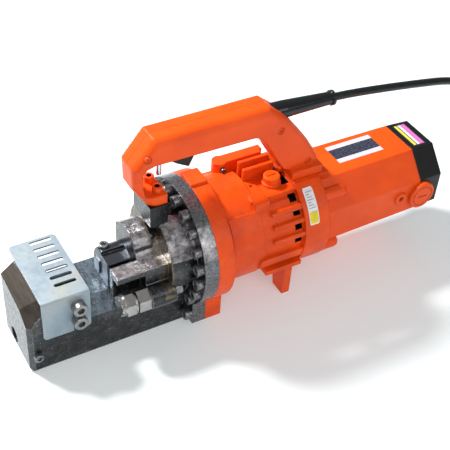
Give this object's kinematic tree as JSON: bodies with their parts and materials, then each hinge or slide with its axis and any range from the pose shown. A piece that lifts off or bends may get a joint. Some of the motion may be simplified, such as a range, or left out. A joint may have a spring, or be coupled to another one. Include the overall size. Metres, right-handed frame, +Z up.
{
  "type": "electro-hydraulic rebar cutter",
  "caption": "Portable electric hydraulic rebar cutter: iron head with open jaw, orange pump and motor cases, black tail cover, loop handle with trigger and a mains cord.",
  "frame": {"origin": "middle of the tool's footprint on the floor, cord left out", "axes": "+X from the cutting nose to the motor's tail, +Y to the side opposite the stopper screw, +Z up"},
  "size_m": [0.873, 0.177, 0.246],
  "materials": {
    "cast_dark": "matte, rough cast",
    "steel_bright": "ground",
    "steel_dark": "black oxide",
    "zinc": "zinc plated",
    "chrome": "polished",
    "orange": "gloss orange enamel",
    "orange_plastic": "moulded orange, semi-gloss",
    "black_plastic": "fine texture",
    "rubber_black": "matte",
    "oil_rubber": "moulded",
    "bronze": "sintered",
    "copper": "enamelled wire",
    "label": "printed",
    "alu": "die cast",
    "carbon": "sintered carbon",
    "fan_plastic": "moulded"
  },
  "bodies": {
    "tool": {"cutter_head": "cast_dark", "fixed_cutter": "steel_bright", "fixed_cutter_bolt": "steel_dark", "chip_guard": "zinc", "guard_screws": "zinc", "nose_screw": "steel_dark", "flange_bolts": "steel_dark", "flange_o_ring": "rubber_black", "rod_wiper": "rubber_black", "return_spring": "steel_dark", "pump_case": "orange", "filler_plug": "orange", "pump_block": "alu", "pump_plunger": "chrome", "plunger_spring": "steel_dark", "cam_bearings": "chrome", "oil_bladder": "oil_rubber", "gear_plate": "alu", "fan_case": "orange", "case_screws": "steel_dark", "motor_housing": "orange_plastic", "tail_cover": "black_plastic", "tail_screws": "steel_dark", "nameplate": "label", "fan_baffle": "fan_plastic", "front_bearing": "chrome", "rear_bearing": "chrome", "field_stator": "steel_bright", "field_coils": "copper", "brush_holders": "bronze", "carbon_brushes": "carbon", "brush_caps": "orange_plastic", "holder_screws": "steel_bright", "handle_near": "orange_plastic", "handle_far": "orange_plastic", "handle_screws": "orange", "handle_bolts": "orange", "trigger_pin": "chrome", "switch_body": "black_plastic", "strain_relief": "rubber_black", "cord": "rubber_black", "cord_coil": "rubber_black", "plug": "rubber_black"},
    "ram": {"piston_rod": "steel_bright", "piston_seal": "rubber_black", "moving_cutter": "steel_bright", "moving_cutter_bolt": "steel_dark"},
    "stopper": {"stopper_bolt": "steel_dark"},
    "lock_nut": {"stopper_nut": "steel_dark"},
    "rotor": {"armature": "steel_bright", "pinion": "steel_dark", "commutator": "copper", "fan": "fan_plastic"},
    "camshaft": {"cam_shaft": "steel_bright", "cam_ring": "bronze", "cam_gear": "steel_dark"},
    "trigger_lever": {"trigger": "black_plastic"},
    "lock_button": {"lock_pin": "chrome"},
    "relief_screw": {"release_valve": "steel_dark"}
  },
  "joints": [
    {"name": "ram_slide", "type": "slide", "parent": "tool", "child": "ram", "axis": [-1, 0, 0], "range_m": [0, 0.028], "stiffness_N_per_m": 900, "springref_m": -0.03, "deforming": ["return_spring"]},
    {"name": "trigger_pivot", "type": "hinge", "parent": "tool", "child": "trigger_lever", "pos_m": [-0.0845, 0, 0.221], "axis": [0, -1, 0], "range_deg": [0, 8], "stiffness_Nm_per_rad": 0.5, "springref_deg": -8.59},
    {"name": "lock_slide", "type": "slide", "parent": "tool", "child": "lock_button", "axis": [0, 0, 1], "range_m": [0, 0.004], "stiffness_N_per_m": 250, "springref_m": -0.003},
    {"name": "stopper_slide", "type": "slide", "parent": "tool", "child": "stopper", "axis": [-1, 0, 0], "range_m": [-0.0015, 0.018]},
    {"name": "lock_nut_turn", "type": "hinge", "parent": "tool", "child": "lock_nut", "pos_m": [-0.1345, -0.046, 0.0685], "axis": [1, 0, 0], "range_deg": [0, 60]},
    {"name": "rotor_spin", "type": "hinge", "parent": "tool", "child": "rotor", "pos_m": [0.1555, 0, 0.0895], "axis": [1, 0, 0], "continuous": true},
    {"name": "camshaft_spin", "type": "hinge", "parent": "tool", "child": "camshaft", "pos_m": [0.0175, 0, 0.068], "axis": [1, 0, 0], "continuous": true},
    {"name": "relief_turn", "type": "hinge", "parent": "tool", "child": "relief_screw", "pos_m": [-0.0025, 0.027, 0.15], "axis": [0, -1, 0], "range_deg": [0, 90]}
  ],
  "couplings": [
    {"joint": "camshaft_spin", "follows": "rotor_spin", "ratio": -0.34375}
  ]
}
